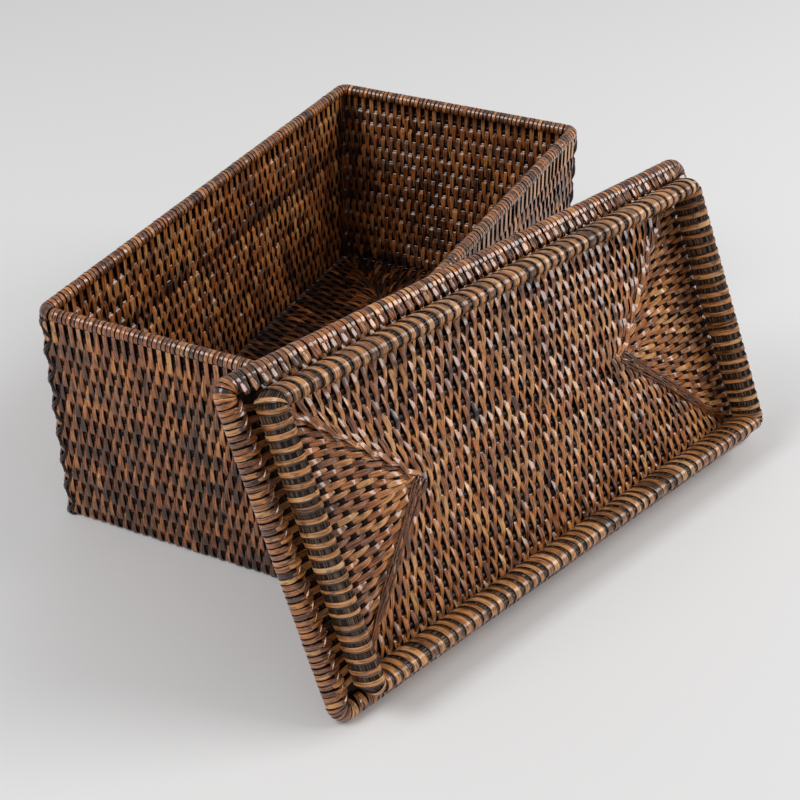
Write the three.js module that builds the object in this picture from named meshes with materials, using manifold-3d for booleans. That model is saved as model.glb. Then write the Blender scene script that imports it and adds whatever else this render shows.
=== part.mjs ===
// A rectangular woven rattan basket with a loose lid, in millimetres, +Z up.
// The basket stands on z = 0 with its middle over the origin and its long side along X.
// The lid is off: its lower edge stands on z = 0 and its back leans on the basket's near corner.
import * as THREE from "three";
import { mergeVertices } from "three/addons/utils/BufferGeometryUtils.js";
import Module from "manifold-3d";

const wasm = await Module();
wasm.setup();

// Driving sizes of the whole
const basketLength = 340;
const basketWidth = 172;
const basketHeight = 130;
const gap = 0.3; // between pieces that touch

// Driving sizes of the weave: flat cane strips over round rods
const caneThickness = 1;
const hoopDiameter = 3.4; // the rods that run round the walls
const hoopSpacing = 8.6; // one woven row of a wall
const firstHoopHeight = 4.6;
const hoopBend = 4; // corner radius of a hoop's centre line
const floorRodDiameter = 3.4;
const lidRodDiameter = 4.2;
const rodSpacing = 8.6; // one woven row of the floor or the lid's panel
const firstRodInset = 4.5; // from the mat's edge to its outermost rod
const panelRodEndInset = 5.5; // how much further in the panel's rods lie at the lid's short sides
const rodBend = 3; // corner radius of a floor or panel rod's centre line

// Driving sizes of the walls
const wallInset = 0.4; // how far a wall's outer face lies inside the rim's
const wallFootRadius = 3; // rounding of a wall's lower outer edge
const lacingRun = 2; // how far a corner lacing runs along each wall past its bend

// Driving sizes of the wound edges: cane wound round a core
const wrapThickness = 1.5;
const rimDiameter = 9;
const rimBend = 5; // corner radius of the rim's centre line
const frameDiameter = 10.5; // the roll round the lid
const frameBend = 5;
const lipWidth = 11;
const lipHeight = 20.5; // above the lid's panel
const lipEndInset = 2; // how much further in the lip lies at the lid's short sides
const lipBend = 3;
const lipClearance = 1; // between the lip and the inside of the rim when the lid is on

// How the lid leans, read from the photograph
const leanTurn = THREE.MathUtils.degToRad(-19.6); // its long edge, turned away from the basket's side
const leanBack = THREE.MathUtils.degToRad(26); // back from the vertical
const leanAlong = 68.4; // from the lid's left edge to the basket's near corner

// How finely round shapes are cut
const wrapSides = 16;
const wrapBendSteps = 3;
const rodSides = 6;
const rodBendSteps = 2;

const canePaint = { color: 0x7a4c28, roughness: 0.42, metalness: 0 };
const lacingPaint = { color: 0x5a3620, roughness: 0.45, metalness: 0 };
const lipCanePaint = { color: 0xa8713c, roughness: 0.5, metalness: 0 };
const rodPaint = { color: 0x2b1d16, roughness: 0.55, metalness: 0 };

// The four corners of a rectangle, anticlockwise from +X +Y, as signs.
const quadrants = [
  [1, 1],
  [-1, 1],
  [-1, -1],
  [1, -1],
];

// Turns a closed geometry into a solid that can be cut.
function solidOf(geometry) {
  const bare = geometry.clone();
  bare.deleteAttribute("normal");
  bare.deleteAttribute("uv");
  const merged = mergeVertices(bare, 1e-4);
  return new wasm.Manifold(
    new wasm.Mesh({
      numProp: 3,
      vertProperties: merged.attributes.position.array,
      triVerts: new Uint32Array(merged.index.array),
    }),
  );
}

function geometryOf(solid) {
  const cut = solid.getMesh();
  const geometry = new THREE.BufferGeometry();
  geometry.setAttribute("position", new THREE.BufferAttribute(cut.vertProperties, 3));
  geometry.setIndex(new THREE.BufferAttribute(cut.triVerts, 1));
  geometry.computeVertexNormals();
  return geometry;
}

function piece(name, geometry, paint) {
  const mesh = new THREE.Mesh(geometry, new THREE.MeshStandardMaterial(paint));
  mesh.name = name;
  return mesh;
}

// The places that a section point takes round a rounded rectangle, whose bend is its centre line's radius.
// A point that lies further in than the bend's centre turns each corner in a mitre.
function outlinePoints({ length, width, bend, steps }, out = 0) {
  const points = [];
  quadrants.forEach(([sx, sy], quadrant) => {
    for (let step = 0; step <= steps; step++) {
      const angle = ((quadrant + step / steps) * Math.PI) / 2;
      const reach = bend + out;
      const [dx, dy] = reach > 0 ? [Math.cos(angle), Math.sin(angle)] : [sx, sy];
      points.push([sx * (length / 2 - bend) + reach * dx, sy * (width / 2 - bend) + reach * dy]);
    }
  });
  return points;
}

// A closed ring: a section of [out, up] points, anticlockwise, carried round a rounded rectangle.
function ringGeometry(outline, section, height = 0) {
  const runs = section.map(([out, up]) => outlinePoints(outline, out).map(([x, y]) => [x, y, height + up]));
  const corners = [];
  const addFace = (...face) => {
    const places = face.map((point) => point.map((value) => value.toFixed(4)).join());
    if (new Set(places).size === face.length) corners.push(...face.flat());
  };
  runs.forEach((run, j) => {
    const nextRun = runs[(j + 1) % runs.length];
    run.forEach((here, i) => {
      const k = (i + 1) % run.length;
      addFace(here, run[k], nextRun[k]);
      addFace(here, nextRun[k], nextRun[i]);
    });
  });
  const geometry = new THREE.BufferGeometry();
  geometry.setAttribute("position", new THREE.Float32BufferAttribute(corners, 3));
  geometry.computeVertexNormals();
  return geometry;
}

function roundSection(halfOut, halfUp = halfOut) {
  return Array.from({ length: rodSides }, (unused, i) => {
    const angle = (i * 2 * Math.PI) / rodSides;
    return [halfOut * Math.cos(angle), halfUp * Math.sin(angle)];
  });
}

function boxSection(halfOut, low, high) {
  return [
    [-halfOut, low],
    [halfOut, low],
    [halfOut, high],
    [-halfOut, high],
  ];
}

// How far the seated side of a wound edge lies from its middle, its cane pressed flat by three quarters.
function seatOf(halfSize) {
  return halfSize - 0.75 * wrapThickness;
}

// The cane wound round a core: an oval sleeve, slit along its seated side and flattened there.
// The seated side faces down for seat "down" and to the middle of the ring for seat "in".
function wrapSection(halfOut, halfUp, seat) {
  const turn = seat === "down" ? -Math.PI / 2 : Math.PI;
  const oval = (a, b) =>
    Array.from({ length: wrapSides }, (unused, i) => {
      const angle = turn + ((i + 0.5) * 2 * Math.PI) / wrapSides;
      return [a * Math.cos(angle), b * Math.sin(angle)];
    });
  const outer = oval(halfOut, halfUp).map(([out, up]) =>
    seat === "down" ? [out, Math.max(up, -seatOf(halfUp))] : [Math.max(out, -seatOf(halfOut)), up],
  );
  const inner = oval(halfOut - wrapThickness, halfUp - wrapThickness);
  return [...outer, ...inner.reverse()];
}

// A wound edge: its sleeve of cane, and the core inside it.
function woundEdge(name, outline, halfOut, halfUp, seat, height, paint) {
  const shrink = wrapThickness + gap;
  const core = roundSection(halfOut - shrink, halfUp - shrink);
  return [
    piece(`${name}_core`, ringGeometry(outline, core, height), rodPaint),
    piece(`${name}_binding`, ringGeometry(outline, wrapSection(halfOut, halfUp, seat), height), paint),
  ];
}

// A mat of strips has a rod inside it and a layer of cane on each side of that.
function matThickness(rodDiameter) {
  return rodDiameter + 2 * (gap + caneThickness);
}

// Heights and half sizes that several pieces share
const rimRadius = rimDiameter / 2;
const rimHeight = basketHeight - rimRadius;
const wallTop = rimHeight - seatOf(rimRadius) - gap;
const wallThickness = matThickness(hoopDiameter);
const wallCornerRadius = hoopBend + wallThickness / 2;
const wallOutX = basketLength / 2 - wallInset;
const wallOutY = basketWidth / 2 - wallInset;
const lacingReach = wallCornerRadius + lacingRun;
const hoopCount = Math.floor((wallTop - hoopDiameter - firstHoopHeight) / hoopSpacing) + 1;
const hoopHeights = Array.from({ length: hoopCount }, (unused, i) => firstHoopHeight + i * hoopSpacing);
const hoopOutline = {
  length: 2 * wallOutX - wallThickness,
  width: 2 * wallOutY - wallThickness,
  bend: hoopBend,
  steps: rodBendSteps,
};

function wallHoops() {
  const section = roundSection(hoopDiameter / 2);
  return hoopHeights.map((height, i) => {
    const number = String(i + 1).padStart(2, "0");
    return piece(`wall_hoop_${number}`, ringGeometry(hoopOutline, section, height), rodPaint);
  });
}

// The tunnels that the hoops run in, through the walls and round the corners.
const hoopBores = hoopHeights
  .map((height) => solidOf(ringGeometry(hoopOutline, roundSection(hoopDiameter / 2 + gap), height)))
  .reduce((all, one) => all.add(one));

// One wall of woven strips: a slab with a rounded foot and a bore for each hoop, facing +X before it turns.
function wallStrips(name, outerFace, halfLength, turn) {
  const inner = outerFace - wallThickness;
  const footX = outerFace - wallFootRadius;
  const run = 2 * (halfLength - lacingReach - gap);
  const shape = new THREE.Shape();
  shape.moveTo(inner, 0);
  shape.lineTo(footX, 0);
  shape.absarc(footX, wallFootRadius, wallFootRadius, -Math.PI / 2, 0, false);
  shape.lineTo(outerFace, wallTop);
  shape.lineTo(inner, wallTop);
  shape.closePath();
  const settings = { depth: run, bevelEnabled: false, curveSegments: wrapBendSteps };
  const slab = new THREE.ExtrudeGeometry(shape, settings);
  slab.translate(0, 0, -run / 2);
  slab.rotateX(Math.PI / 2);
  slab.rotateZ(turn);
  return piece(name, geometryOf(solidOf(slab).subtract(hoopBores)), canePaint);
}

function walls() {
  return [
    wallStrips("far_short_wall_strips", wallOutX, wallOutY, 0),
    wallStrips("far_long_wall_strips", wallOutY, wallOutX, Math.PI / 2),
    wallStrips("near_short_wall_strips", wallOutX, wallOutY, Math.PI),
    wallStrips("near_long_wall_strips", wallOutY, wallOutX, -Math.PI / 2),
  ];
}

// The crossed lacing that closes each upright corner, with the hoops' bends passing through it.
function cornerLacings() {
  // Drawn for the far corner, with both walls' outer faces at zero, then turned or mirrored to its place
  const reach = -lacingReach;
  const inside = -wallThickness;
  const bend = -wallCornerRadius;
  const shape = new THREE.Shape();
  shape.moveTo(0, reach);
  shape.lineTo(0, bend);
  shape.absarc(bend, bend, wallCornerRadius, 0, Math.PI / 2, false);
  shape.lineTo(reach, 0);
  shape.lineTo(reach, inside);
  shape.lineTo(inside, inside);
  shape.lineTo(inside, reach);
  shape.closePath();
  const settings = { depth: wallTop, bevelEnabled: false, curveSegments: wrapBendSteps };
  return ["far", "left", "near", "right"].map((name, i) => {
    const [sx, sy] = quadrants[i];
    const post = new THREE.ExtrudeGeometry(shape, settings);
    post.rotateZ((i * Math.PI) / 2);
    post.translate(sx * wallOutX, sy * wallOutY, 0);
    return piece(`corner_lacing_${name}`, geometryOf(solidOf(post).subtract(hoopBores)), lacingPaint);
  });
}

// A flat mat of strips whose concentric rods lie in grooves that are open to its upper side.
function matWithRods(name, rodName, { length, width, cornerRadius, rodDiameter, endInset, middle }) {
  const thickness = matThickness(rodDiameter);
  const outline = outlinePoints({ length, width, bend: cornerRadius, steps: rodBendSteps });
  const shape = new THREE.Shape(outline.map(([x, y]) => new THREE.Vector2(x, y)));
  const sheet = new THREE.ExtrudeGeometry(shape, { depth: thickness, bevelEnabled: false });
  sheet.translate(0, 0, middle - thickness / 2);
  const rodRadius = rodDiameter / 2;
  const rowRoom = width / 2 - firstRodInset;
  const rodCount = Math.round(rowRoom / rodSpacing + 0.5);
  const pitch = rowRoom / (rodCount - 0.5);
  const groove = boxSection(rodRadius + gap, -rodRadius - gap, thickness);
  let mat = solidOf(sheet);
  const rods = [];
  for (let i = 0; i < rodCount; i++) {
    const inset = 2 * (firstRodInset + i * pitch);
    const path = {
      length: length - inset - 2 * endInset,
      width: width - inset,
      bend: rodBend,
      steps: rodBendSteps,
    };
    mat = mat.subtract(solidOf(ringGeometry(path, groove, middle)));
    rods.push(piece(`${rodName}_${i + 1}`, ringGeometry(path, roundSection(rodRadius), middle), rodPaint));
  }
  return [piece(name, geometryOf(mat), canePaint), ...rods];
}

function basketFloor() {
  return matWithRods("floor_strips", "floor_rod", {
    length: 2 * (wallOutX - wallThickness - gap),
    width: 2 * (wallOutY - wallThickness - gap),
    cornerRadius: caneThickness,
    rodDiameter: floorRodDiameter,
    endInset: 0,
    middle: matThickness(floorRodDiameter) / 2,
  });
}

function rim() {
  const outline = {
    length: basketLength - rimDiameter,
    width: basketWidth - rimDiameter,
    bend: rimBend,
    steps: wrapBendSteps,
  };
  return woundEdge("rim", outline, rimRadius, rimRadius, "down", rimHeight, canePaint);
}

// The lid is as long and as wide as the basket. It lies flat here with its underside up, and the middle of
// its frame and its panel is at z = 0.
const lidLength = basketLength;
const lidWidth = basketWidth;
const frameRadius = frameDiameter / 2;
const panelThickness = matThickness(lidRodDiameter);

function lidFrame() {
  const outline = {
    length: lidLength - frameDiameter,
    width: lidWidth - frameDiameter,
    bend: frameBend,
    steps: wrapBendSteps,
  };
  return woundEdge("lid_frame", outline, frameRadius, frameRadius, "in", 0, canePaint);
}

function lidPanel() {
  const edge = frameRadius + seatOf(frameRadius) + gap;
  return matWithRods("lid_panel_strips", "lid_panel_rod", {
    length: lidLength - 2 * edge,
    width: lidWidth - 2 * edge,
    cornerRadius: Math.max(frameBend - seatOf(frameRadius), 0) + caneThickness,
    rodDiameter: lidRodDiameter,
    endInset: panelRodEndInset,
    middle: 0,
  });
}

function lidLip() {
  const inset = 2 * (rimDiameter + lipClearance) + lipWidth;
  const outline = {
    length: basketLength - inset - 2 * lipEndInset,
    width: basketWidth - inset,
    bend: lipBend,
    steps: wrapBendSteps,
  };
  const halfHeight = (lipHeight + 0.75 * wrapThickness) / 2;
  const height = panelThickness / 2 + gap + seatOf(halfHeight);
  return woundEdge("lid_lip", outline, lipWidth / 2, halfHeight, "down", height, lipCanePaint);
}

// Stands the lid on its lower edge with its back against the basket's near corner: on the rim where the lid
// is tall enough to reach it, and with its own upper edge on the upright corner where it isn't.
function leanLid(lid) {
  const along = new THREE.Vector3(Math.cos(leanTurn), Math.sin(leanTurn), 0);
  const away = new THREE.Vector3(Math.sin(leanTurn), -Math.cos(leanTurn), 0); // level, out from the basket
  const upward = new THREE.Vector3(0, 0, Math.cos(leanBack)).addScaledVector(away, -Math.sin(leanBack));
  const face = new THREE.Vector3().crossVectors(along, upward);
  const corner = new THREE.Vector3(
    -(basketLength / 2 - rimRadius - rimBend),
    -(basketWidth / 2 - rimRadius - rimBend),
    rimHeight,
  ).addScaledVector(away, rimBend);
  const halfReach = lidWidth / 2 - frameRadius;
  const middle = new THREE.Vector3(0, 0, frameRadius + halfReach * upward.z);
  middle.addScaledVector(along, corner.dot(along) + lidLength / 2 - leanAlong);
  // How far up the lid, from its middle, the rim's roll meets its back
  const meets = (corner.z + rimRadius * face.z - middle.z) / upward.z;
  if (meets < halfReach + frameRadius) {
    const backDepth = meets < halfReach - frameRadius ? panelThickness / 2 : frameRadius;
    const short = corner.dot(face) + rimRadius + gap + backDepth - middle.dot(face);
    middle.addScaledVector(away, short / away.dot(face));
  } else {
    const short = corner.dot(away) + rimRadius + gap + frameRadius - middle.dot(away);
    middle.addScaledVector(away, short - halfReach * upward.dot(away));
  }
  lid.matrixAutoUpdate = false;
  lid.matrix.makeBasis(along, upward, face).setPosition(middle);
}

const basket = new THREE.Group();
basket.add(...basketFloor(), ...wallHoops(), ...walls(), ...cornerLacings(), ...rim());

const lid = new THREE.Group();
lid.add(...lidPanel(), ...lidFrame(), ...lidLip());
leanLid(lid);

const whole = new THREE.Group();
whole.add(basket, lid);

export default whole;
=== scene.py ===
import math
from collections import namedtuple

import bpy
import numpy as np
from mathutils import Matrix, Vector


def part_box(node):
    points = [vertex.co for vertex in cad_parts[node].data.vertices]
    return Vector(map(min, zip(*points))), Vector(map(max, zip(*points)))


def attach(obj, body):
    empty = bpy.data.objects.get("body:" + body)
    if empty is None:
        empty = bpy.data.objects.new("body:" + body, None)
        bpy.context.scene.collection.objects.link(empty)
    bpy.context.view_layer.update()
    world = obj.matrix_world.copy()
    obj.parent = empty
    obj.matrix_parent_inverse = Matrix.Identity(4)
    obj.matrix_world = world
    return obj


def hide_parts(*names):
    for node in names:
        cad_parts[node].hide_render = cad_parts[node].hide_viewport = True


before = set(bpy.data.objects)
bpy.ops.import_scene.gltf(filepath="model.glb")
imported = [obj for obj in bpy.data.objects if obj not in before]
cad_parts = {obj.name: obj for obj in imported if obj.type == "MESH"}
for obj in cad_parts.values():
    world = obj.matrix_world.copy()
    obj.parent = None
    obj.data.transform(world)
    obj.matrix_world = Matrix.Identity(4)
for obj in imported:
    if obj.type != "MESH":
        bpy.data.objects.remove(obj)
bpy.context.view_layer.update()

mm = 0.001

# Cane
strip_thickness = 0.7 * mm
band_thickness = 0.42 * mm  # the cane that is wound round the edges is thinner
strip_pitch_near = 2.7 * mm
strip_pitch_far = 2.9 * mm
strip_pitch_long = 3.3 * mm
strip_pitch_lid = 3.03 * mm
strip_pitch_floor = 1.1 * strip_pitch_lid
corner_pitch = 2.5 * mm
corner_strips = 7
strip_sway = 0.1 * mm  # how far a strip, or one dash of it, strays sideways
clearance = 0.1 * mm  # between a rod and the strips that pass it

# Rods, which are slightly flattened ovals
hoop_half_depth = 1.3 * mm
hoop_half_height = 1.9 * mm
panel_rod_half_depth = 1.85 * mm
panel_rod_half_height = 2.2 * mm
hoop_bend = 4 * mm
rod_bend = 3 * mm
edge_bend = 5 * mm
lip_bend = 3 * mm
rod_section = (20, 6, 0.12)  # the points round a rod, its flutes, and how deep these are
floor_rod_section = (16, 6, 0.12)
core_section = (24, 8, 0.05)
frame_lining_section = (16, 8, 0.05)
lining_section = (8, 8, 0.0)
fine_step = 12 * mm  # between two rings of points along a rod
coarse_step = 30 * mm
bend_steps = 9

# How the strips lie on their rods
dash_reach = 0.86  # how far a dash runs to either side of its rod, in rows
dash_low = 0.42 * mm  # how far a dash's ends lie from the middle of the mat
wall_swing = hoop_half_depth + strip_thickness / 2 + clearance
panel_swing = panel_rod_half_depth + strip_thickness / 2 + clearance
foot_gap = 0.7 * mm  # between the ground and the lowest dashes
rim_tuck = 0.6  # how far below the rim's middle line the highest dashes end, in rim radii
wall_drift = 0.12 * mm  # how far the columns move along the wall from row to row
wall_slant = 0.035
panel_drift = 0.45 * mm
panel_slant = 0.11

# Dark linings between the two faces of the weave: painted shade, as dark sheets that stand for the shade
# inside the weave and stop the light through its gaps
lining_half_thick = 0.1 * mm
lining_gap = 0.8 * mm  # from a lining's edge to the middle of the rod beside it
foot_lining_gap = 0.3 * mm
foot_lining_half_thick = 0.5 * mm
rim_lining_half_thick = 0.6 * mm

# The strands that cross over the corners
lacing_radius = 0.75 * mm
lacing_half_run = 5.2 * mm  # how far a strand reaches to either side of its corner
lacing_sink = 2.2 * mm  # how far its ends sink into the weave
lacing_flat = 0.5  # the share of it that doesn't sink
lacing_rise = 1.05  # how far it rises on either side of its middle, in rows
lacing_ways = ((1, 0.9), (-1, 0.2))  # rising or falling, and how far outside the weave, in radii

# The edges
corner_wraps = 6
corner_fan = (np.arange(corner_wraps) + 0.5) / corner_wraps
wrap_size_spread = 0.012
wrap_roll_spread = 0.06
narrowest_fan = 0.12  # how narrow a wrap gets inside a corner, as a share of its width
lip_half_width = 5.5 * mm

# How the lid leans
lean_turn = math.radians(-19.6)
lean_back = math.radians(26)

# Camera
camera_azimuth = math.radians(-64.93)
camera_elevation = math.radians(33.43)
camera_roll = math.radians(0.30)
camera_place = Vector((-679.1, -357.1, 503.7)) * mm
camera_lens = 67.02
camera_sensor = 36

# Sizes read from the frame. A loop is the middle line of a rod or an edge that runs round a rectangle.
Loop = namedtuple("Loop", "half_length half_width bend axes middle radius body")
level = np.eye(3)


def basket_loop(node, bend):
    low, high = np.array(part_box(node))
    radius = (high[2] - low[2]) / 2
    middle = np.array([0, 0, (low[2] + high[2]) / 2])
    return Loop(high[0] - radius, high[1] - radius, bend, level, middle, radius, "basket")


hoops = [f"wall_hoop_{k:02}" for k in range(1, 15)]
floor_rods = [f"floor_rod_{k}" for k in range(1, 10)]
lid_rods = [f"lid_panel_rod_{k}" for k in range(1, 10)]
hoop_loops = [basket_loop(node, hoop_bend) for node in hoops]
floor_loops = [basket_loop(node, rod_bend) for node in floor_rods]
rim_loop = basket_loop("rim_binding", edge_bend)
rim_height = rim_loop.middle[2]
ground_loop = hoop_loops[0]._replace(middle=np.zeros(3))
hoop_heights = np.array([loop.middle[2] for loop in hoop_loops])
row_pitch = hoop_heights[1] - hoop_heights[0]

lid_along = np.array([math.cos(lean_turn), math.sin(lean_turn), 0])
lid_away = np.array([math.sin(lean_turn), -math.cos(lean_turn), 0])
lid_up = np.array([0, 0, math.cos(lean_back)]) - math.sin(lean_back) * lid_away
lid_face = np.cross(lid_along, lid_up)
lid_axes = np.array([lid_along, lid_up, lid_face])
lid_middle = sum(np.array(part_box("lid_frame_core"))) / 2


def lid_reach(node):
    """Lowest and highest place of one of the lid's nodes along the lid's own three axes."""
    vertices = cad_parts[node].data.vertices
    places = np.empty(3 * len(vertices))
    vertices.foreach_get("co", places)
    local = (places.reshape(-1, 3) - lid_middle) @ lid_axes.T
    return local.min(0), local.max(0)


def lid_loop(node, bend):
    low, high = lid_reach(node)
    radius = (high[2] - low[2]) / 2
    return Loop(high[0] - radius, high[1] - radius, bend, lid_axes, lid_middle, radius, "lid")


lid_loops = [lid_loop(node, rod_bend) for node in lid_rods]
frame_loop = lid_loop("lid_frame_binding", edge_bend)

# Mesh helpers
section_out = np.array([-1, -0.88, -0.7, 0.7, 0.88, 1, 0.5, -0.5])
section_up = np.array([0, 0.9, 1, 1, 0.9, 0, -1, -1])
cane_supply = 5.0  # metres of cane that the strips' grain is taken from


def seeded(name):
    return np.random.default_rng(sum(ord(letter) * (place + 1) for place, letter in enumerate(name)))


def unit(vectors):
    return vectors / np.linalg.norm(vectors, axis=-1, keepdims=True)


def square_to(run, direction):
    """The direction that is square to run and nearest to the one given."""
    return unit(direction - run * (direction * run).sum(-1, keepdims=True))


def turns(count):
    """Angles spread evenly over one full turn."""
    return np.arange(count) / count * 2 * math.pi


def lengths(lines):
    """How far along its line each point lies."""
    steps = np.linalg.norm(np.diff(lines, axis=1), axis=-1)
    return np.concatenate([np.zeros((len(lines), 1)), np.cumsum(steps, 1)], 1)


def rings_round(lines, first, first_reach, second, second_reach):
    """A ring of points round each point of each line, from how far they reach along two directions."""
    first = np.broadcast_to(first, lines.shape)[:, :, None]
    second = np.broadcast_to(second, lines.shape)[:, :, None]
    return lines[:, :, None] + first * first_reach[..., None] + second * second_reach[..., None]


def outward_quads(rings):
    """Faces of closed tubes: the walls between their rings and a cap at each end, all turned outward."""
    strips, steps, sides = rings.shape[:3]
    index = np.arange(strips * steps * sides).reshape(strips, steps, sides)
    this, after = index[:, :-1], index[:, 1:]
    walls = np.stack([this, after, np.roll(after, -1, 2), np.roll(this, -1, 2)], -1).reshape(-1, 4)
    near = np.arange(sides // 2 - 1)
    cap = np.stack([near, near + 1, sides - 2 - near, sides - 1 - near], -1)
    start = index[:, 0][:, cap].reshape(-1, 4)
    end = index[:, -1][:, cap[:, ::-1]].reshape(-1, 4)
    quads = np.concatenate([walls, start, end])
    points = rings.reshape(-1, 3)
    spread = points[quads] - points.mean(0)
    halves = np.cross(spread[:, 1], spread[:, 2]) + np.cross(spread[:, 2], spread[:, 3])
    volume = np.einsum("ij,ij->i", spread[:, 0], halves).sum()
    return quads[:, ::-1] if volume < 0 else quads


def linked(name, data):
    made = bpy.data.objects.new(name, data)
    bpy.context.scene.collection.objects.link(made)
    return made


def swept(name, parts, material, body, *nodes, slot="cane_strips"):
    """One mesh of closed tubes. A part is the rings (strips, steps, points round), tint, length and width."""
    points, quads, tints, edges, places = [], [], [], [], []
    count = 0
    for rings, tint, along, across in parts:
        shape = rings.shape[:3]
        quads.append(outward_quads(rings) + count)
        points.append(rings.reshape(-1, 3))
        count += len(points[-1])
        tints.append(np.broadcast_to(np.broadcast_to(tint, shape[:2])[..., None], shape).ravel())
        sideways = np.broadcast_to(across, shape)
        # How near each point lies to its strip's edge, which drives the painted shade along the edges
        edges.append((np.abs(sideways) / np.abs(sideways).max(-1, keepdims=True)).ravel())
        places.append(np.stack([sideways, np.broadcast_to(along[..., None], shape)], -1).reshape(-1, 2))
    points, quads = np.concatenate(points), np.concatenate(quads)
    mesh = bpy.data.meshes.new(name)
    mesh.vertices.add(len(points))
    mesh.vertices.foreach_set("co", points.ravel())
    mesh.loops.add(quads.size)
    mesh.loops.foreach_set("vertex_index", quads.ravel())
    mesh.polygons.add(len(quads))
    mesh.polygons.foreach_set("loop_start", np.arange(len(quads)) * 4)
    mesh.polygons.foreach_set("use_smooth", np.ones(len(quads), bool))
    mesh.update(calc_edges=True)
    for label, values in (("tint", tints), ("edge", edges)):
        values = np.concatenate(values).astype(np.float32)
        mesh.attributes.new(label, "FLOAT", "POINT").data.foreach_set("value", values)
    flat_places = np.concatenate(places)[quads.ravel()].astype(np.float32)
    mesh.uv_layers.new(name="cane").data.foreach_set("uv", flat_places.ravel())
    mesh.materials.append(material)
    made = linked(name, mesh)
    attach(made, body)
    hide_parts(*nodes)


def ribbon(name, centres, sideways, outward, half_width, tint, roll=0.0, thickness=strip_thickness):
    """Flat cane strips along lines of points, each as wide as sideways and with its face turned outward."""
    run = unit(np.gradient(centres, axis=1))
    across = square_to(run, sideways)
    face = np.cross(across, run)
    face = face * np.sign((face * outward).sum(-1, keepdims=True))
    roll = np.broadcast_to(roll, centres.shape[:2])[..., None]
    across, face = across * np.cos(roll) + face * np.sin(roll), face * np.cos(roll) - across * np.sin(roll)
    wide = np.broadcast_to(half_width, centres.shape[:2])[..., None] * section_out
    rings = rings_round(centres, across, wide, face, thickness / 2 * section_up)
    grain_start = seeded(name + "grain").uniform(0, cane_supply, (len(centres), 1))
    return rings, tint, lengths(centres) + grain_start, wide


# Loops
def corner_arc(loop):
    return loop.bend * math.pi / 2


def loop_length(loop):
    return 4 * (loop.half_length + loop.half_width - 2 * loop.bend) + 4 * corner_arc(loop)


def loop_sides(loop):
    """Where each straight side of a loop starts and how long it is, in order."""
    start = 0
    for half_side in (loop.half_length, loop.half_width) * 2:
        straight = 2 * (half_side - loop.bend)
        yield start, straight
        start += straight + corner_arc(loop)


def round_loop(loop, distance):
    """At distances round a loop: the points, the directions outward, and how square to a side these are."""
    left = distance % loop_length(loop)
    place = np.zeros((len(left), 2))
    outward = np.zeros((len(left), 2))
    for turn, (start, straight) in enumerate(loop_sides(loop)):
        here = left >= start
        local = left[here] - start
        side_angle = turn * math.pi / 2
        angle = side_angle - math.pi / 2 + np.clip((local - straight) / loop.bend, 0, None)
        facing = np.stack([np.cos(angle), np.sin(angle)], -1)
        run = np.array([math.cos(side_angle), math.sin(side_angle)])
        out = np.array([run[1], -run[0]])
        reach = (loop.half_width, loop.half_length)[turn % 2] - loop.bend
        first = out * reach - run * straight / 2
        place[here] = first + run * np.clip(local, 0, straight)[:, None] + facing * loop.bend
        outward[here] = facing
    flat = loop.axes[:2]
    return loop.middle + place @ flat, outward @ flat, np.abs(outward).max(-1)


def loop_tube(name, loop, half_up, half_out, section, node, step=fine_step):
    """A dark rod or lining bent round a loop, with its joint in the middle of a long side."""
    points, flutes, depth = section
    bends = np.concatenate([start + straight + np.linspace(0, 1, bend_steps) * corner_arc(loop)
                            for start, straight in loop_sides(loop)])
    total = loop_length(loop)
    even = np.arange(0, total, step)
    clear = np.abs(even[:, None] - bends[None]).min(1) > step / 4
    around = np.unique(np.concatenate([even[clear], bends]))
    begin = loop.half_length - loop.bend
    after, ahead = around[around > begin + mm], around[around < begin - mm] + total
    around = np.concatenate([[begin], after, ahead, [begin + total]])
    line = round_loop(loop, around)[0][None]
    run = unit(np.gradient(line, axis=1))
    upward = square_to(run, loop.axes[2])
    turn = turns(points)
    reach = 1 - depth + depth * np.abs(np.cos(turn * flutes / 2))
    rings = rings_round(line, upward, half_up * reach * np.cos(turn),
                        np.cross(upward, run), half_out * reach * np.sin(turn))
    part = rings, 0.5, lengths(line), turn * half_out
    swept(name, [part], rod_dark, loop.body, node, slot="dark_rods")


def core_tube(name, loop, node):
    radius = loop.radius - strip_thickness
    loop_tube(name, loop, radius, radius, core_section, node)


def wall_shade_lining(name, low, high, half_thick, section, node, step=coarse_step):
    """A dark sheet of painted shade between the two faces of the walls, from one height to another, that
    stops the light.
    """
    loop = ground_loop._replace(middle=np.array([0, 0, (low + high) / 2]))
    loop_tube(name, loop, (high - low) / 2, half_thick, section, node, step)


def wound(name, loop, profile, distance, half_width, tint, lean, roll=0.0, facing=None):
    """Strips wound round an edge. profile holds their points, outward and up from the edge's middle line."""
    middle, out, squareness = round_loop(loop, distance)
    up = loop.axes[2]
    corner = squareness < 1 - 1e-6
    profile = np.array(np.broadcast_to(profile, (len(distance),) + profile.shape[-2:]))
    beyond = np.minimum(profile[..., 0] + loop.bend, 0)
    profile[..., 0] += beyond / squareness[:, None] - beyond
    fan = (loop.bend + profile[..., 0]) / (loop.bend + profile[..., 0].max())
    fan = np.where(corner[:, None], fan, 1.0)
    half = half_width * np.clip(fan, narrowest_fan, None)
    offset = out[:, None] * profile[..., 0][..., None] + up * profile[..., 1][..., None]
    run = np.cross(up, out)[:, None]
    points = middle[:, None] + offset + run * (lean * fan)[..., None]
    if facing is None:
        return ribbon(name, points, run, offset, half, tint, roll, band_thickness)
    sideways = np.cross(facing, np.gradient(points, axis=1))
    return ribbon(name, points, sideways, facing, half, tint, roll, band_thickness)


def winding(name, node, loop, *strips):
    swept(name, [wound(name, loop, *strips)], glossy_cane, loop.body, node)


def arc_profile(radius, start, end, steps):
    angle = np.radians(np.linspace(start, end, steps))
    return np.stack([radius * np.cos(angle), radius * np.sin(angle)], -1)


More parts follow.
